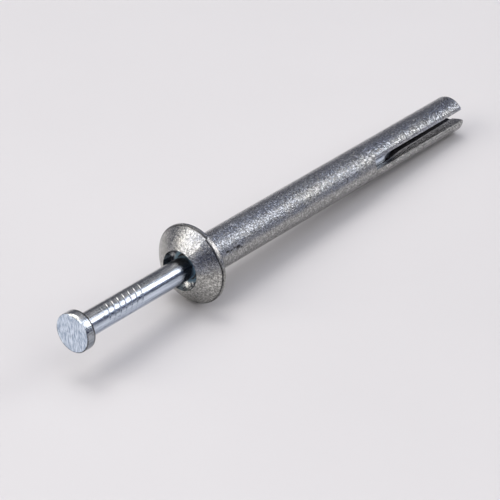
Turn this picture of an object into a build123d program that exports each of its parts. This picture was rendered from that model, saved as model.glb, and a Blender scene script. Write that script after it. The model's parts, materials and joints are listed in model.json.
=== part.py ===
from build123d import *
import math
import os

# Hammer drive anchor, supplied with its nail set part way in.
#
# anchor_body  one zinc alloy die casting: mushroom head, plain shank and split end
# drive_nail   one steel nail with a flat head, hammered in until its head is flush
#
# Both pieces are modelled on the anchor's own axis. There +X runs from the head
# to the split end, and x = 0 is the underside of the mushroom head. lay_down()
# then rolls and tilts them as the anchor lies on a flat surface, resting on the
# rim of its head and on its lower leg. All lengths are in millimetres.

# Anchor body: shank and mushroom head
shank_diameter = 6.02
length_under_head = 63.5
flange_diameter = 12.48
rim_thickness = 0.7
head_height = 3.14
dome_bulge = 0.2
rim_edge_chamfer = 0.15
root_fillet = 0.35
tail_edge_radius = 0.35

# Anchor body: split end
slot_width = 1.67
slot_length = 22.06
slot_root_angle = 50.0
flat_offset = 2.63
flat_length = 23.55

# Anchor body: bore, which narrows between the legs so that the nail spreads them
lead_in_length = 5.0
pilot_diameter = 2.4
tail_bore_diameter = 1.9
bore_mouth_chamfer = 0.3

# Drive nail
nail_diameter = 3.62
nail_length = 74.4
nail_point_length = 5.0
nail_tip_diameter = 0.4
nail_head_diameter = 6.0
nail_head_thickness = 1.65
nail_head_edge_radius = 0.4
nail_head_back_radius = 0.25
nail_neck_chamfer = 0.25

# Grip marks: fine rings that the heading dies bite into two sides of the nail
grip_count = 8
grip_pitch = 1.14
grip_depth = 0.1
grip_width = 0.4
grip_start = 3.37
grip_half_angle = 75.0
grip_turn = 28.0

# How far the nail's head stands out of the mushroom head as supplied
nail_standout = 22.6

# Clearances
nail_running_clearance = 0.04
recess_floor_clearance = 0.04
recess_mouth_clearance = 0.12
point_clearance = 0.1
head_seat_clearance = 0.02

# How the anchor lies: the near side of the slot is raised this many degrees
slot_roll = 15.0

# How far each cutter runs past the surfaces that it cuts through
overrun = 1.0

# Worked out from the sizes above
shank_radius = shank_diameter / 2
flange_radius = flange_diameter / 2
nail_radius = nail_diameter / 2
nail_head_radius = nail_head_diameter / 2
bore_radius = nail_radius + nail_running_clearance
recess_mouth_radius = nail_head_radius + recess_mouth_clearance
recess_floor_radius = nail_head_radius + recess_floor_clearance
recess_floor_x = nail_head_thickness + head_seat_clearance - head_height
nail_face_x = -head_height - nail_standout
nail_tip_x = nail_face_x + nail_length
nail_point_x = nail_tip_x - nail_point_length
lead_in_x = nail_point_x + point_clearance


def circular_edges(solid, x, radius):
    """The circular edges that lie at x with this radius."""
    return solid.edges().filter_by(
        lambda edge: edge.geom_type == GeomType.CIRCLE
        and abs(edge.radius - radius) < 1e-4
        and abs(edge.arc_center.X - x) < 1e-4
    )


def round_edges(solid, x, radius, fillet_radius):
    return fillet(circular_edges(solid, x, radius), fillet_radius)


def turned(*outline):
    """The solid of revolution about X of a closed outline of lines and arcs."""
    return revolve(make_face(Wire(outline)), Axis.X)


def body_blank():
    """Mushroom head and shank, solid right through."""
    dome = SagittaArc(
        (-head_height, recess_mouth_radius),
        (-rim_thickness, flange_radius),
        dome_bulge,
    )
    outside = Polyline(
        (-head_height, recess_mouth_radius),
        (-head_height, 0),
        (length_under_head, 0),
        (length_under_head, shank_radius),
        (0, shank_radius),
        (0, flange_radius),
        (-rim_thickness, flange_radius),
    )
    blank = turned(dome, *outside.edges())
    blank = chamfer(circular_edges(blank, 0, flange_radius), rim_edge_chamfer)
    blank = round_edges(blank, 0, shank_radius, root_fillet)
    return round_edges(blank, length_under_head, shank_radius, tail_edge_radius)


def nail_passage():
    """Recess for the nail's head, bore for its shank and the narrowing pilot."""
    recess_slope = (recess_mouth_radius - recess_floor_radius) / (recess_floor_x + head_height)
    outline = Polyline(
        (-head_height - overrun, 0),
        (-head_height - overrun, recess_mouth_radius + overrun * recess_slope),
        (recess_floor_x, recess_floor_radius),
        (recess_floor_x, bore_radius + bore_mouth_chamfer),
        (recess_floor_x + bore_mouth_chamfer, bore_radius),
        (lead_in_x, bore_radius),
        (lead_in_x + lead_in_length, pilot_diameter / 2),
        (length_under_head, tail_bore_diameter / 2),
        (length_under_head + overrun, tail_bore_diameter / 2),
        (length_under_head + overrun, 0),
        (-head_height - overrun, 0),
    )
    return turned(*outline.edges())


def slot_cutter():
    """The slot between the legs, whose root slopes inwards from both sides to the bore."""
    root_x = length_under_head - slot_length
    mouth_radius = shank_radius + overrun
    mouth_x = root_x - (mouth_radius - bore_radius) * math.tan(math.radians(slot_root_angle))
    outline = Polyline(
        (mouth_x, mouth_radius),
        (root_x, bore_radius),
        (root_x, -bore_radius),
        (mouth_x, -mouth_radius),
        (length_under_head + overrun, -mouth_radius),
        (length_under_head + overrun, mouth_radius),
        close=True,
    )
    return extrude(make_face(outline), slot_width / 2, both=True)


def flat_cutters():
    """The two shallow flats beside the open sides of the slot."""
    start_x = length_under_head - flat_length
    for side, align in ((1, Align.MIN), (-1, Align.MAX)):
        yield Pos(start_x, side * flat_offset, 0) * Box(
            flat_length + overrun,
            shank_diameter,
            shank_diameter,
            align=(Align.MIN, align, Align.CENTER),
        )


def anchor_body():
    body = body_blank() - nail_passage() - slot_cutter()
    for cutter in flat_cutters():
        body -= cutter
    return body


def nail_blank():
    """Flat head, straight shank and conical point."""
    back_x = nail_face_x + nail_head_thickness
    outline = Polyline(
        (nail_face_x, 0),
        (nail_face_x, nail_head_radius),
        (back_x, nail_head_radius),
        (back_x, nail_radius),
        (nail_point_x, nail_radius),
        (nail_tip_x, nail_tip_diameter / 2),
        (nail_tip_x, 0),
        close=True,
    )
    nail = turned(*outline.edges())
    nail = round_edges(nail, nail_face_x, nail_head_radius, nail_head_edge_radius)
    nail = round_edges(nail, back_x, nail_head_radius, nail_head_back_radius)
    return chamfer(circular_edges(nail, back_x, nail_radius), nail_neck_chamfer)


def grip_marks():
    """V grooves part way round the nail, deepest in the middle of each side."""
    offset = grip_depth / (1 - math.cos(math.radians(grip_half_angle)))
    apex = nail_radius - grip_depth + offset
    groove = Polyline(
        (-grip_width, apex + 2 * grip_depth),
        (0, apex),
        (grip_width, apex + 2 * grip_depth),
        close=True,
    )
    ring = turned(*groove.edges())
    first_x = nail_face_x + nail_head_thickness + grip_start
    for mark in range(grip_count):
        for side in (0, 180):
            facing = Rot(side - grip_turn, 0, 0) * Pos(0, offset, 0)
            yield Pos(first_x + mark * grip_pitch, 0, 0) * facing * ring


def drive_nail():
    nail = nail_blank()
    for mark in grip_marks():
        nail -= mark
    return nail


def resting_tilt():
    """Angle at which the head's rim and the lower leg both touch the surface."""
    run = length_under_head - tail_edge_radius + rim_edge_chamfer
    drop = flange_radius - (shank_radius - tail_edge_radius)
    return math.degrees(math.atan2(drop, run) - math.asin(tail_edge_radius / math.hypot(run, drop)))


def lay_down(pieces):
    """Lay the pieces on z = 0 together, with the middle of their box over the origin."""
    lying = Rot(0, resting_tilt(), 0) * Rot(-slot_roll, 0, 0)
    box = Compound(children=[lying * piece for piece in pieces.values()]).bounding_box()
    middle = box.center()
    placed = Pos(-middle.X, -middle.Y, -box.min.Z) * lying
    return {name: placed * piece for name, piece in pieces.items()}


os.makedirs("parts", exist_ok=True)
pieces = {"anchor_body": anchor_body(), "drive_nail": drive_nail()}
for name, piece in lay_down(pieces).items():
    export_step(piece, f"parts/{name}.step")
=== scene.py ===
import json
import math
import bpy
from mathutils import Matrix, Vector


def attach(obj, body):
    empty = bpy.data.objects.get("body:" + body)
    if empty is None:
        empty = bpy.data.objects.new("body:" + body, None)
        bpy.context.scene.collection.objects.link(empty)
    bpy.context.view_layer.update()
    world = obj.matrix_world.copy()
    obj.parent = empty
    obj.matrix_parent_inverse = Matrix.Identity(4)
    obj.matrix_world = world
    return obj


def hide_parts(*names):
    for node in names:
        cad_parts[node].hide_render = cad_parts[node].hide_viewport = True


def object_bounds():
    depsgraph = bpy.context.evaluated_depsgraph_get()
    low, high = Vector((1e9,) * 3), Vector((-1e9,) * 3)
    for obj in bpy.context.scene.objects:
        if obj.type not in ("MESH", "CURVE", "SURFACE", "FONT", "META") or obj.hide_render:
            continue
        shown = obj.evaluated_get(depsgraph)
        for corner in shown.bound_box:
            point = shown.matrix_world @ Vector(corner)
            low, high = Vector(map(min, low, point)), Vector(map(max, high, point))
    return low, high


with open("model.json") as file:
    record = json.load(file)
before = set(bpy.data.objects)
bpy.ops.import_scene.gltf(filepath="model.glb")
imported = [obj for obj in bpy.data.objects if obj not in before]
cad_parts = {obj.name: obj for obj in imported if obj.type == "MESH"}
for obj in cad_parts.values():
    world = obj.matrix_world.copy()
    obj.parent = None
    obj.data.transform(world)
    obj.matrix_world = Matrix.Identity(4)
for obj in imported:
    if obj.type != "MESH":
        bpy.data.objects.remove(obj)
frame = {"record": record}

from types import SimpleNamespace

import bmesh
import bpy
from mathutils import Matrix, Vector, noise

# Hammer drive anchor with its nail set part way in, lying on a plain studio table.
# Blender works in metres. The dictionaries below are in millimetres and degrees unless they say otherwise.

mm = 0.001
slack = 0.01  # millimetres, when a point is matched to a surface
scene = bpy.context.scene
cadLow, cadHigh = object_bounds()
cadMiddle = (cadLow + cadHigh) / 2
scene.view_settings.view_transform = "Standard"

# The anchor's own axes, from the mounts in the record: +X from the nail's head to the split end,
# x = 0 under the mushroom head, -Y the near side of the slot.
mounts = {mount["name"]: mount for mount in frame["record"]["mounts"]}


def findAnchorAxes():
    along = Vector(mounts["shank"]["axis"]).normalized()
    onAxis = Vector(mounts["shank"]["pos_m"])
    seat = Vector(mounts["bearing_face"]["pos_m"])
    origin = onAxis + along * (seat - onAxis).dot(along)
    up = (seat - origin).normalized()
    side = up.cross(along)
    axes = Matrix((along, side, up)).transposed().to_4x4()
    axes.translation = origin
    return axes


anchorAxes = findAnchorAxes()
print("anchor axes found")


# Camera

cameraSetup = {
    "lens": 180.0,
    "sensor": 36.0,
    "distance": 0.3731,  # metres
    "turn": 50.58,  # from looking along +Y towards +X
    "rise": 32.88,  # above the table
    "aimOffset": (-0.00507, 0.0008, -0.00507),  # metres, from the middle of the part
}


def addCamera(setup):
    turn = math.radians(setup["turn"])
    rise = math.radians(setup["rise"])
    look = Vector((math.cos(rise) * math.sin(turn), math.cos(rise) * math.cos(turn), -math.sin(rise)))
    data = bpy.data.cameras.new("camera")
    data.lens = setup["lens"]
    data.sensor_width = setup["sensor"]
    camera = bpy.data.objects.new("camera", data)
    scene.collection.objects.link(camera)
    camera.location = cadMiddle + Vector(setup["aimOffset"]) - look * setup["distance"]
    camera.rotation_euler = look.to_track_quat("-Z", "Y").to_euler()
    scene.camera = camera


addCamera(cameraSetup)
print("camera placed")


# Node helpers

def setInputs(tree, node, inputs):
    for name, value in inputs.items():
        if isinstance(value, bpy.types.NodeSocket):
            tree.links.new(value, node.inputs[name])
        else:
            node.inputs[name].default_value = value


def addNode(tree, kind, inputs=None, **settings):
    node = tree.nodes.new("ShaderNode" + kind)
    for name, value in settings.items():
        setattr(node, name, value)
    setInputs(tree, node, inputs or {})
    return node


def newMaterial(name):
    material = bpy.data.materials.new(name)
    material.use_nodes = True
    tree = material.node_tree
    return material, tree, tree.nodes["Principled BSDF"]


def mathNode(tree, operation, *values):
    return addNode(tree, "Math", dict(enumerate(values)), operation=operation).outputs[0]


def vectorNode(tree, operation, *values):
    return addNode(tree, "VectorMath", dict(enumerate(values)), operation=operation).outputs["Vector"]


def combined(tree, x, y, z=0.0):
    return addNode(tree, "CombineXYZ", {"X": x, "Y": y, "Z": z}).outputs["Vector"]


def stretched(tree, vector, scale):
    return addNode(tree, "Mapping", {"Vector": vector, "Scale": scale}).outputs["Vector"]


def noiseOf(tree, vector, scale, detail=3.0, roughness=0.5, distortion=0.0):
    return addNode(tree, "TexNoise", {
        "Vector": vector,
        "Scale": scale,
        "Detail": detail,
        "Roughness": roughness,
        "Distortion": distortion,
    }).outputs["Fac"]


def rampOf(tree, value, low, high, atLow=0.0, atHigh=1.0):
    # straight ramp between two values, held flat outside them
    return addNode(tree, "MapRange", {
        "Value": value,
        "From Min": low,
        "From Max": high,
        "To Min": atLow,
        "To Max": atHigh,
    }).outputs["Result"]


# A Mix node keeps sockets of each kind: 2 and 3 take numbers, 6 and 7 take colours.

def mixNumbers(tree, share, first, second):
    return addNode(tree, "Mix", {0: share, 2: first, 3: second}).outputs[0]


def mixColours(tree, share, first, second, blend="MIX"):
    mix = addNode(tree, "Mix", {0: share, 6: first, 7: second}, data_type="RGBA", blend_type=blend)
    return mix.outputs[2]


def tinted(tree, share, base, tint):
    return mixColours(tree, share, base, tint, "MULTIPLY")


def product(tree, *shares):
    result = shares[0]
    for share in shares[1:]:
        result = mathNode(tree, "MULTIPLY", result, share)
    return result


def larger(tree, first, second):
    return mathNode(tree, "MAXIMUM", first, second)


def inverse(tree, share):
    return mathNode(tree, "SUBTRACT", 1.0, share)


def placeOnAnchor(tree):
    # object space turned onto the anchor's own axes, in millimetres
    back = anchorAxes.inverted()
    place = addNode(tree, "Mapping", {
        "Vector": addNode(tree, "TexCoord").outputs["Object"],
        "Location": back.translation / mm,
        "Rotation": back.to_euler(),
        "Scale": (1 / mm,) * 3,
    }).outputs["Vector"]
    axes = addNode(tree, "SeparateXYZ", {"Vector": place}).outputs
    fromAxis = addNode(tree, "VectorMath", {0: stretched(tree, place, (0, 1, 1))}, operation="LENGTH")
    near = mathNode(tree, "MULTIPLY", axes["Y"], -1.0)
    down = mathNode(tree, "MULTIPLY", axes["Z"], -1.0)
    # around is in radians; turn is in degrees from the near side, rising downwards
    return SimpleNamespace(
        place=place,
        along=axes["X"],
        up=axes["Z"],
        radius=fromAxis.outputs["Value"],
        around=mathNode(tree, "ARCTAN2", axes["Z"], axes["Y"]),
        turn=mathNode(tree, "DEGREES", mathNode(tree, "ARCTAN2", down, near)),
    )


def bandAt(tree, turn, band):
    # a band rises between its first two turns and falls between its last two
    rising = rampOf(tree, turn, band[0], band[1])
    return product(tree, rising, rampOf(tree, turn, band[3], band[2]))


def bumpOn(tree, height, distance, normal=None):
    inputs = {"Height": height, "Distance": distance * mm}
    if normal is not None:
        inputs["Normal"] = normal
    return addNode(tree, "Bump", inputs).outputs["Normal"]


# Table top and studio

table = {
    "halfSize": 0.9,  # metres
    "colour": (0.672, 0.662, 0.672, 1),
    "scuffColour": (0.65, 0.64, 0.65, 1),
    "scuff": {"scale": 14, "detail": 4},
    "scuffRamp": (0.35, 0.7),
    "roughness": 0.55,
}


def makeTable(shape):
    material, tree, shader = newMaterial("matteTable")
    scuff = noiseOf(tree, addNode(tree, "TexCoord").outputs["Object"], **shape["scuff"])
    share = rampOf(tree, scuff, *shape["scuffRamp"])
    setInputs(tree, shader, {
        "Base Color": mixColours(tree, share, shape["colour"], shape["scuffColour"]),
        "Roughness": shape["roughness"],
    })
    half = shape["halfSize"]
    corners = [(x * half, y * half, cadLow.z) for x, y in ((-1, -1), (1, -1), (1, 1), (-1, 1))]
    mesh = bpy.data.meshes.new("table")
    mesh.from_pydata(corners, [], [(0, 1, 2, 3)])
    mesh.materials.append(material)
    top = bpy.data.objects.new("table", mesh)
    scene.collection.objects.link(top)


makeTable(table)

studio = {
    "front": {"colour": (0.55, 0.62, 1.0, 1), "strength": 0.11},
    "back": {"colour": (0.80, 0.82, 1.0, 1), "strength": 0.19},
    "backTowards": (-0.1, 0.95, 0.25),
    "backRamp": (-0.5, 0.7),  # from the front's light to the back's
    "softboxes": {  # distances and sizes in metres, powers in watts
        "backSoftbox": {
            "towards": (0.03, 0.34, 0.94), "distance": 0.9,
            "size": (0.36, 0.36), "power": 2.0,
            "colour": (1.0, 0.97, 0.92),
        },
        "topSoftbox": {
            "towards": (0.0, 0.1, 1.0), "distance": 0.8,
            "size": (1.25, 1.25), "power": 5.0,
            "colour": (0.96, 0.96, 1.0),
        },
        "leftSoftbox": {
            "towards": (-0.72, 0.41, 0.59), "distance": 0.9,
            "size": (0.84, 0.42), "power": 3.75,
            "colour": (1.0, 0.95, 0.87),
        },
        "frontSoftbox": {
            "towards": (0.0, -0.72, 0.69), "distance": 0.9,
            "size": (0.6, 0.6), "power": 1.5,
            "colour": (1.0, 0.98, 0.96),
        },
        "rightSoftbox": {
            "towards": (0.69, -0.48, 0.53), "distance": 0.8,
            "size": (0.42, 0.37), "power": 1.45,
            "colour": (1.0, 0.97, 0.91),
        },
    },
}


def addSoftbox(name, box):
    data = bpy.data.lights.new(name, "AREA")
    data.shape = "RECTANGLE"
    data.size, data.size_y = box["size"]
    data.energy = box["power"]
    data.color = box["colour"]
    lamp = bpy.data.objects.new(name, data)
    scene.collection.objects.link(lamp)
    towards = Vector(box["towards"]).normalized()
    lamp.location = cadMiddle + towards * box["distance"]
    lamp.rotation_euler = (-towards).to_track_quat("-Z", "Y").to_euler()


def lightStudio(setup):
    world = bpy.data.worlds.new("studio")
    scene.world = world
    world.use_nodes = True
    tree = world.node_tree
    direction = addNode(tree, "TexCoord").outputs["Generated"]
    facing = addNode(tree, "VectorMath", {0: direction, 1: setup["backTowards"]}, operation="DOT_PRODUCT")
    share = rampOf(tree, facing.outputs["Value"], *setup["backRamp"])
    front, back = setup["front"], setup["back"]
    setInputs(tree, tree.nodes["Background"], {
        "Color": mixColours(tree, share, front["colour"], back["colour"]),
        "Strength": mixNumbers(tree, share, front["strength"], back["strength"]),
    })
    for name, box in setup["softboxes"].items():
        addSoftbox(name, box)


lightStudio(studio)
print("table and lights ready")


# Turned meshes, made in the anchor's axes in millimetres and then set in place

def runTo(outline, x, radius, spacing):
    # straight run from the outline's last point
    startX, startRadius = outline[-1]
    count = max(1, round(math.hypot(x - startX, radius - startRadius) / spacing))
    for step in range(1, count + 1):
        share = step / count
        outline.append((startX + (x - startX) * share, startRadius + (radius - startRadius) * share))


def curveTo(outline, pull, end, count):
    # smooth curve from the outline's last point to end, pulled towards a third point
    start = outline[-1]
    for step in range(1, count + 1):
        share = step / count
        weights = ((1 - share) ** 2, 2 * share * (1 - share), share ** 2)
        outline.append(tuple(
            sum(weight * point[axis] for weight, point in zip(weights, (start, pull, end)))
            for axis in (0, 1)
        ))


def outwardOf(outline, index):
    # unit normal of the outline, pointing out of the metal
    before = outline[max(index - 1, 0)]
    after = outline[min(index + 1, len(outline) - 1)]
    alongX, alongRadius = after[0] - before[0], after[1] - before[1]
    length = math.hypot(alongX, alongRadius) or 1.0
    return -alongRadius / length, alongX / length


def pointAt(x, radius, angle):
    turn = math.radians(angle)
    return Vector((x, radius * math.cos(turn), radius * math.sin(turn)))


def sweepOutline(name, outline, around, shapePoint, closed):
    # shapePoint moves each point: (x, radius, outward normal, angle in degrees) -> (x, radius)
    mesh = bpy.data.meshes.new(name)
    shell = bmesh.new()
    angles = [360 * step / around for step in range(around)]
    rows = []
    for index, (x, radius) in enumerate(outline):
        outward = outwardOf(outline, index)
        moved = [shapePoint(x, radius, outward, angle) for angle in angles]
        rows.append([shell.verts.new(pointAt(*place, angle)) for place, angle in zip(moved, angles)])
    pairs = list(zip(rows, rows[1:]))
    if closed:
        pairs.append((rows[-1], rows[0]))
    for first, second in pairs:
        for step in range(around):
            beside = (step + 1) % around
            shell.faces.new((first[step], second[step], second[beside], first[beside]))
    if not closed:
        bmesh.ops.remove_doubles(shell, verts=rows[0] + rows[-1], dist=1e-4)
    bmesh.ops.recalc_face_normals(shell, faces=shell.faces)
    shell.to_mesh(mesh)
    shell.free()
    return mesh


def cutWith(mesh, cutters):
    # take each cutter out of the mesh, exactly
    piece = bpy.data.objects.new("beingCut", mesh)
    scene.collection.objects.link(piece)
    helpers = []
    for cutter in cutters:
        helper = bpy.data.objects.new("cutter", cutter)
        scene.collection.objects.link(helper)
        cut = piece.modifiers.new("cut", "BOOLEAN")
        cut.operation = "DIFFERENCE"
        cut.solver = "EXACT"
        cut.object = helper
        helpers.append(helper)
    ready = piece.evaluated_get(bpy.context.evaluated_depsgraph_get())
    result = bpy.data.meshes.new_from_object(ready)
    for helper in helpers + [piece]:
        spent = helper.data
        bpy.data.objects.remove(helper)
        bpy.data.meshes.remove(spent)
    return result


def addPaintedShade(mesh, paintedShadeOf):
    # how much painted shade each point gets, from 0 to 1, for the materials to read
    paintedShade = mesh.attributes.new("paintedShade", "FLOAT", "POINT")
    for vertex, entry in zip(mesh.vertices, paintedShade.data):
        x, y, z = vertex.co
        entry.value = paintedShadeOf(x, math.hypot(y, z), math.degrees(math.atan2(z, y)))


def setInPlace(mesh, name, material, node, sharpAngle):
    mesh.transform(anchorAxes @ Matrix.Scale(mm, 4))
    mesh.polygons.foreach_set("use_smooth", [True] * len(mesh.polygons))
    mesh.set_sharp_from_angle(angle=math.radians(sharpAngle))
    mesh.materials.clear()
    mesh.materials.append(material)
    piece = bpy.data.objects.new(name, mesh)
    scene.collection.objects.link(piece)
    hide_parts(node)
    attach(piece, node)
    print(name, "made,", sum(len(face.vertices) - 2 for face in mesh.polygons), "triangles")


def bell(distance, width):
    return math.exp(-(distance / width) ** 2)


def fade(value, low, high):
    share = min(max((value - low) / (high - low), 0.0), 1.0)
    return share * share * (3 - 2 * share)


def unevenness(place, scale, depth):
    return depth * (0.5 - 0.5 * noise.noise(place * scale))


def turnBetween(angle, middle):
    # signed turn in degrees from middle to angle
    return (angle - middle + 180) % 360 - 180


# Body casting: the die's two halves meet along partingAngle, where the rim steps

bodyCasting = {
    "around": 180,  # points round the axis
    "sharpAngle": 35,
    "headHeight": 3.14,
    "flangeRadius": 6.24,
    "domeBulge": 0.4,  # pull of the dome's curve, outwards
    "rimThickness": 0.58,
    "rimRounding": 0.0425,
    "thickerRim": 0.32,  # more than that just below the parting line
    "thickerRise": (0, 1.5),  # below the parting line
    "thickerFall": (28, 55),
    "thickerFrom": -0.3,  # the rim's back stays where it is
    "rimChamfer": 0.15,
    "rootFillet": 0.35,
    "shankRadius": 3.01,
    "length": 63.5,
    "tailRounding": 0.35,
    "recessFloor": -1.47,
    "recessRadii": (3.04, 3.12),
    "recessCorner": 0.08,
    "mouthRounding": 0.06,
    "boreRadius": 1.85,
    "boreChamfer": 0.3,
    "boreClosing": 0.7,  # last step of the bore, back to the first point
    "leadIn": (43.76, 48.76),
    "pilotRadii": (1.2, 0.95),
    "partingAngle": 132.0,
    "flashHeight": 0.03,
    "flashWidth": 1.6,
    "crease": 0.17,  # groove between the dome and the rim's band
    "creaseBottom": (1 / 3, 1.6),  # before the rim and inside the flange, as shares of the crease
    "waveDepth": 0.02,
    "waveScale": 0.8,
    "grainDepth": 0.008,
    "grainScale": 3.3,
    "slotHalfWidth": 0.835,
    "slotDraft": 0.078,  # narrower by this much over the bore's width, on each side
    "slotRoot": 41.44,
    "rootSlope": 1.1918,  # run along the axis for each millimetre outwards
    "slotEdge": 0.06,
    "slotCutterReach": 4.2,
    "flatOffset": 2.63,
    "flatStart": 39.95,
    "flatCutterReach": (5.0, 4.0),  # outwards and to each side
    "cutterOverrun": 1.0,  # past the end of the shank
    "pitsEnd": 9,  # finer rows up to here
    "pits": (  # x, angle, half length, half width in degrees, depth
        (4.4, 175.0, 0.35, 3.0, 0.22),
        (5.2, 176.5, 0.3, 2.5, 0.14),
        (5.9, 175.0, 0.3, 2.5, 0.16),
        (6.7, 178.0, 0.4, 4.0, 0.26),
        (7.4, 183.0, 0.25, 2.5, 0.10),
        (6.0, 183.0, 0.5, 2.0, 0.06),
    ),
    # painted shade: dark in the rim's crease, along the rim's back edge and in the pits
    "paintedShade": {
        "rimReach": 0.8,  # how far in from the rim's edge there can be any
        "creaseOffset": 0.05,
        "creaseWidth": 0.14,
        "thickerNarrowing": 0.05,  # of that width where the rim is thickest
        "backAlong": (-0.24, -0.08),
        "backOutwards": (-0.24, -0.12),  # from the rim's edge
        "pitReach": 0.4,  # below the shank's surface
        "pitDepths": (0.03, 0.09),
    },
}


def domePull(shape):
    # middle of the dome's chord, moved out square to it
    head, rim, flange = shape["headHeight"], shape["rimThickness"], shape["flangeRadius"]
    mouthRadius, bulge = shape["recessRadii"][1], shape["domeBulge"]
    slope = math.atan2(flange - mouthRadius, head - rim)
    return (
        (-head - rim) / 2 - bulge * math.sin(slope),
        (mouthRadius + flange) / 2 + bulge * math.cos(slope),
    )


def bodyOutline(shape):
    floor, bore, chamfer = shape["recessFloor"], shape["boreRadius"], shape["boreChamfer"]
    floorRadius, mouthRadius = shape["recessRadii"]
    corner, mouth = shape["recessCorner"], shape["mouthRounding"]
    head, flange, rim = shape["headHeight"], shape["flangeRadius"], shape["rimThickness"]
    outline = [(floor + chamfer, bore)]
    runTo(outline, floor, bore + chamfer, spacing=0.11)
    runTo(outline, floor, floorRadius - corner, spacing=0.12)
    curveTo(outline, (floor, floorRadius), (floor - corner, floorRadius), count=3)
    runTo(outline, -head + mouth, mouthRadius, spacing=0.15)
    curveTo(outline, (-head, mouthRadius), (-head, mouthRadius + mouth), count=3)
    # dome, crease and rim
    crease, rounding = shape["crease"], shape["rimRounding"]
    bottomBefore, bottomInside = shape["creaseBottom"]
    curveTo(outline, domePull(shape), (-rim - crease, flange - crease), count=40)
    runTo(outline, -rim - crease * bottomBefore, flange - crease * bottomInside, spacing=0.1)
    runTo(outline, -rim + rounding, flange - rounding, spacing=0.1)
    curveTo(outline, (-rim + rounding, flange), (-rim + 2 * rounding, flange), count=3)
    runTo(outline, -shape["rimChamfer"], flange, spacing=0.1)
    runTo(outline, 0, flange - shape["rimChamfer"], spacing=0.08)
    # underside of the flange, and the shank
    shank, length = shape["shankRadius"], shape["length"]
    fillet, tail = shape["rootFillet"], shape["tailRounding"]
    runTo(outline, 0, shank + fillet, spacing=0.25)
    curveTo(outline, (0, shank), (fillet, shank), count=6)
    runTo(outline, shape["pitsEnd"], shank, spacing=0.12)
    runTo(outline, length - tail, shank, spacing=0.25)
    curveTo(outline, (length, shank), (length, shank - tail), count=7)
    # back through the bore
    narrow, narrowest = shape["pilotRadii"]
    leadStart, leadEnd = shape["leadIn"]
    runTo(outline, length, narrowest, spacing=0.2)
    runTo(outline, leadEnd, narrow, spacing=0.6)
    runTo(outline, leadStart, bore, spacing=0.5)
    runTo(outline, floor + chamfer + shape["boreClosing"], bore, spacing=0.8)
    return outline


def thickerRimAt(shape, angle):
    below = turnBetween(angle, shape["partingAngle"])
    rising, falling = fade(below, *shape["thickerRise"]), fade(below, *shape["thickerFall"])
    return shape["thickerRim"] * rising * (1 - falling)


def flashAt(shape, angle):
    # the parting line runs along both sides
    below = abs(turnBetween(angle, shape["partingAngle"]))
    return bell(min(below, 180 - below), shape["flashWidth"])


def pitAt(shape, x, angle):
    deepest = 0.0
    for pitX, pitAngle, halfLength, halfWidth, pitDepth in shape["pits"]:
        spread = bell(x - pitX, halfLength) * bell(turnBetween(angle, pitAngle), halfWidth)
        deepest = max(deepest, pitDepth * spread)
    return deepest


def castPaintedShade(shape, x, radius, angle):
    # painted shade in the rim's crease, along its back edge and in the pits
    shadeSetup, flange = shape["paintedShade"], shape["flangeRadius"]
    if radius > flange - shadeSetup["rimReach"]:
        thicker = thickerRimAt(shape, angle)
        width = shadeSetup["creaseWidth"] - shadeSetup["thickerNarrowing"] * thicker / shape["thickerRim"]
        crease = bell(x + shape["rimThickness"] + thicker + shadeSetup["creaseOffset"], width)
        return max(crease, fade(x, *shadeSetup["backAlong"]) * fade(radius - flange, *shadeSetup["backOutwards"]))
    if 0 < x < shape["pitsEnd"] and radius > shape["shankRadius"] - shadeSetup["pitReach"]:
        return fade(pitAt(shape, x, angle), *shadeSetup["pitDepths"])
    return 0.0


def castSurface(shape):
    head, rim = shape["headHeight"], shape["rimThickness"]

    def shapePoint(x, radius, outward, angle):
        place = pointAt(x, radius, angle)
        depth = unevenness(place, shape["waveScale"], shape["waveDepth"])
        depth += unevenness(place, shape["grainScale"], shape["grainDepth"])
        if x < slack and radius > shape["recessRadii"][1] + slack:
            depth += shape["flashHeight"] * (1 - flashAt(shape, angle))
            if x < shape["thickerFrom"]:
                x -= thickerRimAt(shape, angle) * min(max((x + head) / (head - rim), 0), 1)
        if 0 < x < shape["pitsEnd"] and radius > shape["shankRadius"] - slack:
            depth += pitAt(shape, x, angle)
        if radius <= shape["boreRadius"] + slack:
            depth = 0
        return x - depth * outward[0], radius - depth * outward[1]

    return shapePoint


def prismBetween(name, sections):
    # closed mesh through matching corner rings
    mesh = bpy.data.meshes.new(name)
    corners = [corner for section in sections for corner in section]
    count = len(sections[0])
    faces = [tuple(range(count)), tuple(range(len(corners) - count, len(corners)))]
    for level in range(len(sections) - 1):
        for step in range(count):
            first, second = level * count + step, level * count + (step + 1) % count
            faces.append((first, second, second + count, first + count))
    mesh.from_pydata(corners, [], faces)
    shell = bmesh.new()
    shell.from_mesh(mesh)
    bmesh.ops.recalc_face_normals(shell, faces=shell.faces)
    shell.to_mesh(mesh)
    shell.free()
    return mesh


def slotCutter(shape):
    # sections across the slot: narrower over the bore, wider where the edges are broken
    edge, bore, past = shape["slotEdge"], shape["boreRadius"], shape["cutterOverrun"]
    mouth, outside = shape["flatOffset"] - edge, shape["slotCutterReach"]
    levels = [(bore, -shape["slotDraft"]), (mouth, 0), (outside, outside - mouth)]
    mirrored = [(-across, wider) for across, wider in reversed(levels)]
    sections = []
    for across, wider in mirrored + levels:
        root = shape["slotRoot"] - max(abs(across) - bore, 0) * shape["rootSlope"]
        wide = shape["slotHalfWidth"] + wider
        ring = ((root, wide), (shape["length"] - edge, wide), (shape["length"] + past, wide + past + edge))
        sections.append([(x, across, z) for x, z in ring] + [(x, across, -z) for x, z in reversed(ring)])
    return prismBetween("slotCutter", sections)


def flatCutter(shape, side):
    reach, half = shape["flatCutterReach"]
    start, end = shape["flatStart"], shape["length"] + shape["cutterOverrun"]
    ring = ((start, -half), (end, -half), (end, half), (start, half))
    sections = [[(x, side * y, z) for x, z in ring] for y in (shape["flatOffset"], reach)]
    return prismBetween("flatCutter", sections)


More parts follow.
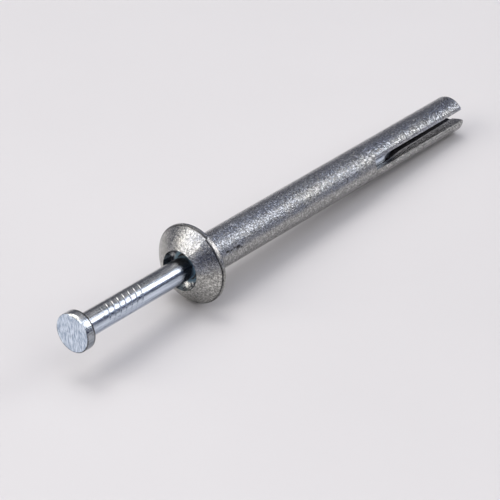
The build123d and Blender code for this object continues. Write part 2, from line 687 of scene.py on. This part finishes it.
def makeBody(shape, material):
    outline = bodyOutline(shape)
    blank = sweepOutline("bodyCasting", outline, shape["around"], castSurface(shape), closed=True)
    mesh = cutWith(blank, [slotCutter(shape), flatCutter(shape, 1), flatCutter(shape, -1)])
    addPaintedShade(mesh, lambda x, radius, angle: castPaintedShade(shape, x, radius, angle))
    setInPlace(mesh, "bodyCasting", material, "anchor_body", shape["sharpAngle"])


# Nail: flat head with a sheared face, drawn shank, grip marks and a point

nailForging = {
    "around": 128,  # points round the axis
    "sharpAngle": 40,
    "faceX": -25.725,
    "headRadius": 3.0,
    "headBack": -24.09,
    "backRounding": 0.25,
    "neckChamfer": 0.25,
    "shankRadius": 1.81,
    "pointStart": 43.66,
    "tipX": 48.66,
    "tipRadius": 0.2,
    "tipRounding": (0.05, 0.08),  # before the tip and inside its radius
    "chordAngle": 115.0,
    "chordDistance": 2.45,
    "evenRadius": 2.0,  # of the face's middle, which the rounding leaves alone
    "roundingStart": 2.4,
    "roundingLength": 0.6,
    "smallestRounding": 0.18,
    "roundingDepth": 0.85,  # of its width
    "waveDepth": 0.012,
    "waveScale": 1.3,
    "shankInset": 0.01,
    "shankInsetStart": 0.3,  # behind the head
    "pointInset": 0.004,
    "gripCount": 8,
    "gripPitch": 1.14,
    "firstGrip": -20.7,
    "firstGripShare": 0.35,  # of the others' depth
    "gripMargin": 1.0,  # finer rows start this far before the first
    "gripDepth": 0.055,
    "gripHalfWidth": 0.11,
    "gripEndWidth": 0.02,
    "gripHalfAngle": 84.0,
    "gripAngle": 150.0,
    "gripSlant": -0.010,  # along the axis for each degree round
    "gripLip": 0.012,
    "lipOffset": 0.04,
    "lipWidth": 0.06,
    "lipRise": 3,  # how fast the lip grows from a groove's ends
    "gripGrooveShade": 0.75,
    "gripGrooveShadeDepths": (0.4, 0.95),  # shares of the grip marks' depth
}


def nailOutline(shape):
    face, head, back = shape["faceX"], shape["headRadius"], shape["headBack"]
    shank, neck, rounding = shape["shankRadius"], shape["neckChamfer"], shape["backRounding"]
    outline = [(face, 0)]
    runTo(outline, face, shape["evenRadius"], spacing=0.5)
    runTo(outline, face, shape["roundingStart"], spacing=0.1)
    curveTo(outline, (face, head), (face + shape["roundingLength"], head), count=14)
    runTo(outline, back - rounding, head, spacing=0.12)
    curveTo(outline, (back, head), (back, head - rounding), count=5)
    runTo(outline, back, shank + neck, spacing=0.2)
    runTo(outline, back + neck, shank, spacing=0.1)
    runTo(outline, shape["firstGrip"] - shape["gripMargin"], shank, spacing=0.4)
    runTo(outline, shape["firstGrip"] + shape["gripCount"] * shape["gripPitch"], shank, spacing=0.045)
    runTo(outline, shape["pointStart"], shank, spacing=0.6)
    tip, tipRadius = shape["tipX"], shape["tipRadius"]
    before, inside = shape["tipRounding"]
    runTo(outline, tip - before, tipRadius + before, spacing=0.25)
    curveTo(outline, (tip, tipRadius), (tip, tipRadius - inside), count=3)
    outline.append((tip, 0))
    return outline


def roundingAt(shape, angle):
    # the face is a disc with a straight side, where the edge is rounded widely
    facing = math.cos(math.radians(angle - shape["chordAngle"]))
    toSide = shape["chordDistance"] / facing if facing > 0 else math.inf
    return max(shape["headRadius"] - toSide, shape["smallestRounding"])


def roundedFace(shape, x, radius, angle):
    # squeeze the rounded corner to its width at this angle
    face, head = shape["faceX"], shape["headRadius"]
    even, start = shape["evenRadius"], shape["roundingStart"]
    width = roundingAt(shape, angle)
    fromEdge = (head - radius) / (head - start)
    if fromEdge <= 1:
        radius = head - width * fromEdge
    else:
        radius = even + (radius - even) * (head - width - even) / (start - even)
    return face + width * shape["roundingDepth"] * (x - face) / shape["roundingLength"], radius


def gripGroove(shape, x, angle):
    # depth of the grip marks, which the dies bite into two sides; below nought on their lips
    side = shape["gripAngle"]
    if abs(turnBetween(angle, side)) >= 90:
        side -= 180
    away = turnBetween(angle, side)
    flat = math.cos(math.radians(shape["gripHalfAngle"]))
    reach = (math.cos(math.radians(away)) - flat) / (1 - flat)
    if reach <= 0:
        return 0.0
    place = (x - shape["firstGrip"] - away * shape["gripSlant"]) / shape["gripPitch"]
    mark = min(max(round(place), 0), shape["gripCount"] - 1)
    distance = abs(place - mark) * shape["gripPitch"]
    weight = shape["firstGripShare"] if mark == 0 else 1.0
    width = shape["gripHalfWidth"] * math.sqrt(reach) + shape["gripEndWidth"]
    groove = shape["gripDepth"] * reach * weight * max(0.0, 1 - distance / width)
    lip = shape["gripLip"] * weight * min(1.0, reach * shape["lipRise"])
    return groove - lip * bell(distance - width - shape["lipOffset"], shape["lipWidth"])


# painted shade in the bottoms of the grip marks
def gripGrooveShade(shape, x, angle):
    depth = gripGroove(shape, x, angle) / shape["gripDepth"]
    return shape["gripGrooveShade"] * fade(depth, *shape["gripGrooveShadeDepths"])


def nailSurface(shape):
    def shapePoint(x, radius, outward, angle):
        depth = unevenness(pointAt(x, radius, angle), shape["waveScale"], shape["waveDepth"])
        if x < shape["faceX"] + shape["roundingLength"] and radius > shape["evenRadius"]:
            x, radius = roundedFace(shape, x, radius, angle)
        if shape["headBack"] + shape["shankInsetStart"] < x < shape["pointStart"]:
            depth += gripGroove(shape, x, angle) + shape["shankInset"]
        if x > shape["pointStart"]:
            depth = shape["pointInset"]
        return x - depth * outward[0], radius - depth * outward[1]

    return shapePoint


def makeNail(shape, material):
    outline = nailOutline(shape)
    mesh = sweepOutline("driveNail", outline, shape["around"], nailSurface(shape), closed=False)
    addPaintedShade(mesh, lambda x, radius, angle: gripGrooveShade(shape, x, angle))
    setInPlace(mesh, "driveNail", material, "drive_nail", shape["sharpAngle"])


# Die-cast zinc alloy: grey, finely grained, blotchy and a little pitted.
# A name that ends in Ramp gives where something starts and where it is full. The turns of bands,
# strips and smooth places are degrees from the near side, rising downwards.

zincCasting = {
    "darkTone": (0.22, 0.225, 0.23, 1),
    "lightTone": (0.745, 0.75, 0.745, 1),
    "grain": {"scale": 4.4, "detail": 4, "roughness": 0.65},
    "grainRamp": (0.36, 0.64),
    "grainHeight": 0.06,
    "speck": {"scale": 3.4, "detail": 3, "roughness": 0.75},
    "speckRamp": (0.42, 0.58),
    "speckTones": (0.66, 1.25),
    "fine": {"scale": 6.5, "detail": 2, "roughness": 0.6},
    "fineHeight": 0.035,
    "poreRamp": (0.40, 0.31),
    "poreColour": (0.07, 0.07, 0.08, 1),
    "stainStretch": (0.6, 1, 1),
    "stain": {"scale": 2.0, "detail": 6, "roughness": 0.72},
    "stainRamp": (0.50, 0.66),
    "stainShare": 0.65,
    "stainColour": (0.24, 0.235, 0.215, 1),
    "roughRamp": (0.35, 0.7),
    "roughness": (0.15, 0.31),
    # rubbed smooth places, tints with a painted sky reflection and painted shade, the painted dark
    # reflection strip along the near side and the rim's painted highlight
    "headToShankRamp": (-0.1, 0.1),
    "smoothTop": (-160.0, -130.0, -85.0, -50.0),
    "smoothHead": (-175.0, -150.0, -20.0, 15.0),
    "smoothTone": (0.40, 0.403, 0.403, 1),
    "smoothShare": 0.35,  # of that tone on the head
    "specksLeft": 0.45,  # where it is smooth
    "leastGrain": 0.3,  # of the grain's height, if no specks were left
    "leastTilt": 0.4,  # and of the flakes' tilt
    "cloud": {"scale": 0.2, "detail": 3},
    "cloudRamp": (0.38, 0.55),
    "skyReflectionBand": (-82.0, -60.0, -4.0, 8.0),
    "leastSkyReflection": 0.3,
    "skyReflectionTint": (0.84, 0.885, 1.0, 1),
    "upperBand": (-130.0, -105.0, -14.0, -1.0),
    "lowerRamp": (0.0, 0.4),
    "lowerHeadTint": (0.97, 0.955, 0.90, 1),
    "lowerShankShadeTint": (0.84, 0.835, 0.82, 1),
    "headReflectionBand": (-42.0, -30.0, -4.0, 10.0),
    "shankReflectionBand": (-19.0, -9.0, -2.0, 10.0),
    "darkReflectionTint": (0.80, 0.81, 0.84, 1),
    "rimRadiusRamp": (6.10, 6.16),
    "rimAlongRamp": (-0.12, -0.2),
    "rimHighlightBand": (-49.0, -44.0, -20.0, -8.0),
    "rimHighlightColour": (0.55, 0.55, 0.57, 1),
    # slot and bore: painted shade and a painted glint
    "slotStart": 41.0,
    "slotReach": 0.86,  # half width that counts as the slot's walls
    "wallShadeColour": (0.21, 0.21, 0.22, 1),
    "wallShadeShare": 0.7,
    "boreGlintRamp": (0.35, 0.15),  # outside the bore
    "glintGrainRamp": (0.42, 0.55),
    "boreShadeRamp": (0.04, 0.0),
    "paintedShadeColour": (0.035, 0.035, 0.04, 1),
    # recess: painted shade, painted highlights and oxide on the seat
    "recessRadiusRamp": (3.2, 3.12),
    "recessAlongRamp": (-1.3, -1.4),
    "recessShadeAndHighlight": ((0.10, 0.105, 0.12, 1), (0.95, 0.95, 0.93, 1)),  # painted shade, painted highlight
    "highlightPlaces": ((-146.0, 10.0), (102.0, 15.0), (79.0, 5.0)),  # turn, half width
    "highlightStretch": (0.5, 3.0, 0.5),
    "highlightBreakup": {"scale": 2.2, "detail": 4, "roughness": 0.6, "distortion": 0.3},
    "highlightRamp": (0.36, 0.46),
    "seatRamp": (2.65, 2.25),
    "seatColour": (0.42, 0.60, 0.70, 1),
    "seatRoughness": 0.9,
    "seatMetallic": 0.4,
    # relief
    "wave": {"scale": 0.7, "detail": 2},
    "waveHeight": 0.03,
    "ringStretch": 0.35,  # per radian round
    "ring": {"scale": 4.5, "detail": 4, "roughness": 0.7},
    "ringRamp": (0.1, -0.2),
    "ringHeight": 0.03,
    "flakeScale": 4.6,
    "flakeTilt": 0.17,
}


def castSkin(tree, look, at):
    # textures and masks that the colour and the relief share
    onShank = rampOf(tree, at.along, *look["headToShankRamp"])
    # the top is rubbed smooth, and most of the head's upper side
    smoothHead = product(tree, inverse(tree, onShank), bandAt(tree, at.turn, look["smoothHead"]))
    smooth = larger(tree, smoothHead, bandAt(tree, at.turn, look["smoothTop"]))
    return SimpleNamespace(
        grain=noiseOf(tree, at.place, **look["grain"]),
        fine=noiseOf(tree, at.place, **look["fine"]),
        stain=noiseOf(tree, stretched(tree, at.place, look["stainStretch"]), **look["stain"]),
        onShank=onShank,
        smoothHead=smoothHead,
        specksLeft=mixNumbers(tree, smooth, 1.0, look["specksLeft"]),
    )


def castColour(tree, look, at, skin):
    light = rampOf(tree, skin.grain, *look["grainRamp"])
    base = mixColours(tree, light, look["darkTone"], look["lightTone"])
    speck = noiseOf(tree, at.place, **look["speck"])
    tone = rampOf(tree, speck, *look["speckRamp"], *look["speckTones"])
    base = mixColours(tree, skin.specksLeft, base, vectorNode(tree, "MULTIPLY", base, tone))
    base = mixColours(tree, product(tree, skin.smoothHead, look["smoothShare"]), base, look["smoothTone"])
    # a painted reflection of a blue sky, cloudy, above the near side; darker and warmer below and behind
    cloud = noiseOf(tree, at.place, **look["cloud"])
    cloudy = rampOf(tree, cloud, *look["cloudRamp"], atLow=look["leastSkyReflection"])
    skyReflection = product(tree, bandAt(tree, at.turn, look["skyReflectionBand"]), cloudy)
    base = tinted(tree, skyReflection, base, look["skyReflectionTint"])
    # below and behind: the casting's own warmer tone on the head, painted shade as well on the shank
    toShank = rampOf(tree, at.along, *look["lowerRamp"])
    lowerToneAndShade = mixColours(tree, toShank, look["lowerHeadTint"], look["lowerShankShadeTint"])
    base = tinted(tree, inverse(tree, bandAt(tree, at.turn, look["upperBand"])), base, lowerToneAndShade)
    # a painted dark reflection in a strip along the near side
    headReflectionBand, shankReflectionBand = (bandAt(tree, at.turn, look[name]) for name in ("headReflectionBand", "shankReflectionBand"))
    base = tinted(tree, mixNumbers(tree, skin.onShank, headReflectionBand, shankReflectionBand), base, look["darkReflectionTint"])
    # a painted highlight, lighter and even, on the rim's band below the parting line
    onRimHighlight = product(
        tree,
        rampOf(tree, at.radius, *look["rimRadiusRamp"]),
        rampOf(tree, at.along, *look["rimAlongRamp"]),
        bandAt(tree, at.turn, look["rimHighlightBand"]),
    )
    base = mixColours(tree, onRimHighlight, base, look["rimHighlightColour"])
    stained = rampOf(tree, skin.stain, *look["stainRamp"], atHigh=look["stainShare"])
    base = mixColours(tree, stained, base, look["stainColour"])
    return mixColours(tree, rampOf(tree, skin.fine, *look["poreRamp"]), base, look["poreColour"])


def slotShadeAndGlint(tree, look, shape, at, skin, base):
    # painted shade and a painted glint: the bore is painted black and the slot's walls dark, with a bright
    # glint painted along the edge between them
    leadStart, leadEnd = shape["leadIn"]
    narrow, narrowest = shape["pilotRadii"]
    leadIn = rampOf(tree, at.along, leadStart, leadEnd, shape["boreRadius"], narrow)
    narrowing = rampOf(tree, at.along, leadEnd, shape["length"], atHigh=narrow - narrowest)
    outside = mathNode(tree, "SUBTRACT", at.radius, mathNode(tree, "SUBTRACT", leadIn, narrowing))
    onShadedWall = product(
        tree,
        mathNode(tree, "LESS_THAN", mathNode(tree, "ABSOLUTE", at.up), look["slotReach"]),
        mathNode(tree, "GREATER_THAN", at.along, look["slotStart"]),
    )
    bright = rampOf(tree, skin.grain, *look["glintGrainRamp"])
    onGlintEdge = product(tree, rampOf(tree, outside, *look["boreGlintRamp"]), bright)
    walls = mixColours(tree, look["wallShadeShare"], base, look["wallShadeColour"])
    base = mixColours(tree, onShadedWall, base, mixColours(tree, onGlintEdge, walls, look["lightTone"]))
    return mixColours(tree, rampOf(tree, outside, *look["boreShadeRamp"]), base, look["paintedShadeColour"])


def recessColour(tree, look, at, onSeat):
    # painted shade, with a few painted highlights, and oxide on the seat
    unrolled = combined(tree, at.along, at.around, at.radius)
    highlightBreakup = noiseOf(tree, stretched(tree, unrolled, look["highlightStretch"]), **look["highlightBreakup"])
    highlighted = 0.0
    for middle, half in look["highlightPlaces"]:
        away = mathNode(tree, "ABSOLUTE", mathNode(tree, "SUBTRACT", at.turn, middle))
        highlighted = larger(tree, highlighted, rampOf(tree, away, half, half / 2))
    highlighted = product(tree, highlighted, rampOf(tree, highlightBreakup, *look["highlightRamp"]))
    return mixColours(tree, onSeat, mixColours(tree, highlighted, *look["recessShadeAndHighlight"]), look["seatColour"])


def castRelief(tree, look, at, skin):
    normal = bumpOn(tree, noiseOf(tree, at.place, **look["wave"]), look["waveHeight"])
    # faint turned lines round the head
    ring = combined(tree, at.radius, product(tree, at.around, look["ringStretch"]))
    lines = product(tree, noiseOf(tree, ring, **look["ring"]), rampOf(tree, at.along, *look["ringRamp"]))
    normal = bumpOn(tree, lines, look["ringHeight"], normal)
    grain = product(tree, skin.grain, mixNumbers(tree, skin.specksLeft, look["leastGrain"], 1.0))
    normal = bumpOn(tree, grain, look["grainHeight"], normal)
    normal = bumpOn(tree, skin.fine, look["fineHeight"], normal)
    # small crystals of the casting's skin, each tilted its own way
    flakes = addNode(tree, "TexVoronoi", {"Vector": at.place, "Scale": look["flakeScale"]}).outputs["Color"]
    mostTilt = look["flakeTilt"]
    share = mixNumbers(tree, skin.specksLeft, mostTilt * look["leastTilt"], mostTilt)
    tilt = vectorNode(tree, "MULTIPLY", vectorNode(tree, "SUBTRACT", flakes, (0.5, 0.5, 0.5)), share)
    return vectorNode(tree, "NORMALIZE", vectorNode(tree, "ADD", tilt, normal))


def makeZincCasting(look, shape):
    material, tree, shader = newMaterial("zincCasting")
    at = placeOnAnchor(tree)
    skin = castSkin(tree, look, at)
    base = slotShadeAndGlint(tree, look, shape, at, skin, castColour(tree, look, at, skin))
    inRecess = product(
        tree,
        rampOf(tree, at.radius, *look["recessRadiusRamp"]),
        rampOf(tree, at.along, *look["recessAlongRamp"]),
    )
    onSeat = rampOf(tree, at.radius, *look["seatRamp"])
    base = mixColours(tree, inRecess, base, recessColour(tree, look, at, onSeat))
    # painted shade read from the mesh, in the rim's crease, along its back edge and in the pits
    paintedShade = addNode(tree, "Attribute", attribute_name="paintedShade").outputs["Fac"]
    seat = product(tree, inRecess, onSeat)
    rough = rampOf(tree, skin.stain, *look["roughRamp"], *look["roughness"])
    setInputs(tree, shader, {
        "Base Color": mixColours(tree, paintedShade, base, look["paintedShadeColour"]),
        "Roughness": larger(tree, rough, product(tree, seat, look["seatRoughness"])),
        "Metallic": mixNumbers(tree, seat, 1.0, look["seatMetallic"]),
        "Normal": castRelief(tree, look, at, skin),
    })
    return material


# Zinc-plated steel nail: bright, faintly blue, drawn lines along the shank

platedSteel = {
    "colour": (0.68, 0.75, 0.86, 1),
    "darkColour": (0.46, 0.52, 0.60, 1),
    "lineStretch": (0.12, 3.0, 3.0),
    "line": {"scale": 1.6, "detail": 4, "roughness": 0.65},
    "lineRamp": (0.42, 0.62),
    "lineHeight": 0.012,
    "fleckStretch": (0.55, 1.6, 1.6),
    "fleck": {"scale": 2.4, "detail": 4, "roughness": 0.7},
    "fleckRamp": (0.40, 0.32),
    "fleckColour": (0.16, 0.17, 0.20, 1),
    "fleckHeight": 0.03,
    "roughRamp": (0.3, 0.7),
    "roughness": (0.13, 0.27),
    # tints round the nail: painted shade on the top, along the lower side and on the head's lower side, and
    # a painted dark reflection streak
    "headFrom": 2.3,  # radius beyond which it is the head
    "topShadeBand": (-160.0, -130.0, -52.0, -42.0),
    "topShadeTint": (0.84, 0.77, 0.66, 1),
    "darkReflectionStreakBand": (-25.0, -21.0, -15.0, -9.0),
    "darkReflectionStreakTint": (0.48, 0.51, 0.60, 1),
    "lowShadeBand": (10.0, 26.0, 70.0, 90.0),
    "lowShadeTint": (0.80, 0.81, 0.84, 1),
    "lowerSide": ((-18.0, -4.0), (-150.0, -170.0)),  # turns from which it is below, near and far
    "headUndersideShadeTint": (0.58, 0.56, 0.53, 1),  # painted shade on the head's lower side
    # sheared face of the head, with painted shade along the edge of its lower part
    "faceRamp": (-25.66, -25.70),
    "shearAngle": 93.0,  # run of the torn lines across the face
    "shearStretch": (0.2, 0.75, 3.6),
    "shear": {"scale": 1.5, "detail": 4, "roughness": 0.62, "distortion": 0.3},
    "shearRamp": (0.40, 0.60),
    "shearedColours": ((0.34, 0.42, 0.54, 1), (0.80, 0.89, 1.0, 1)),
    "shearHeight": 0.05,
    "nailShadeColour": (0.07, 0.065, 0.06, 1),
    "faceShadeRadiusRamp": (2.80, 2.86),
    "faceShadeAlongRamp": (-25.56, -25.66),
    "faceShadeFleckRamp": (0.62, 0.50),
    "headBackShadeRamp": (-24.50, -24.34),
}


def makePlatedSteel(look):
    material, tree, shader = newMaterial("platedSteel")
    at = placeOnAnchor(tree)
    lines = noiseOf(tree, stretched(tree, at.place, look["lineStretch"]), **look["line"])
    flecks = noiseOf(tree, stretched(tree, at.place, look["fleckStretch"]), **look["fleck"])
    onHead = mathNode(tree, "GREATER_THAN", at.radius, look["headFrom"])
    nearRamp, farRamp = look["lowerSide"]
    below = larger(tree, rampOf(tree, at.turn, *nearRamp), rampOf(tree, at.turn, *farRamp))
    base = mixColours(tree, rampOf(tree, lines, *look["lineRamp"]), look["colour"], look["darkColour"])
    base = mixColours(tree, rampOf(tree, flecks, *look["fleckRamp"]), base, look["fleckColour"])
    # painted shade along the top of the nail, darker and warmer
    base = tinted(tree, bandAt(tree, at.turn, look["topShadeBand"]), base, look["topShadeTint"])
    # a painted dark reflection in a streak along the shank
    reflectionStreak = product(tree, bandAt(tree, at.turn, look["darkReflectionStreakBand"]), inverse(tree, onHead))
    base = tinted(tree, reflectionStreak, base, look["darkReflectionStreakTint"])
    # painted shade along the lower side of the nail
    base = tinted(tree, bandAt(tree, at.turn, look["lowShadeBand"]), base, look["lowShadeTint"])
    # painted shade on the head's lower side
    base = tinted(tree, product(tree, below, onHead), base, look["headUndersideShadeTint"])
    # sheared face
    alongTear = addNode(tree, "Mapping", {
        "Vector": at.place,
        "Rotation": (-math.radians(look["shearAngle"]), 0, 0),
    }).outputs["Vector"]
    torn = noiseOf(tree, stretched(tree, alongTear, look["shearStretch"]), **look["shear"])
    onFace = rampOf(tree, at.along, *look["faceRamp"])
    sheared = mixColours(tree, rampOf(tree, torn, *look["shearRamp"]), *look["shearedColours"])
    base = mixColours(tree, onFace, base, sheared)
    # painted shade along the face's lower edge and behind the head
    faceEdgeShade = product(
        tree,
        below,
        rampOf(tree, at.radius, *look["faceShadeRadiusRamp"]),
        rampOf(tree, at.along, *look["faceShadeAlongRamp"]),
        rampOf(tree, flecks, *look["faceShadeFleckRamp"]),
    )
    headBackShade = product(tree, onHead, rampOf(tree, at.along, *look["headBackShadeRamp"]))
    base = mixColours(tree, larger(tree, faceEdgeShade, headBackShade), base, look["nailShadeColour"])
    # painted shade in the grip marks, read from the mesh
    paintedShade = addNode(tree, "Attribute", attribute_name="paintedShade").outputs["Fac"]
    normal = bumpOn(tree, lines, look["lineHeight"])
    normal = bumpOn(tree, flecks, look["fleckHeight"], normal)
    setInputs(tree, shader, {
        "Base Color": mixColours(tree, paintedShade, base, look["nailShadeColour"]),
        "Roughness": rampOf(tree, flecks, *look["roughRamp"], *look["roughness"]),
        "Metallic": 1.0,
        "Normal": bumpOn(tree, product(tree, torn, onFace), look["shearHeight"], normal),
    })
    return material


makeBody(bodyCasting, makeZincCasting(zincCasting, bodyCasting))
makeNail(nailForging, makePlatedSteel(platedSteel))
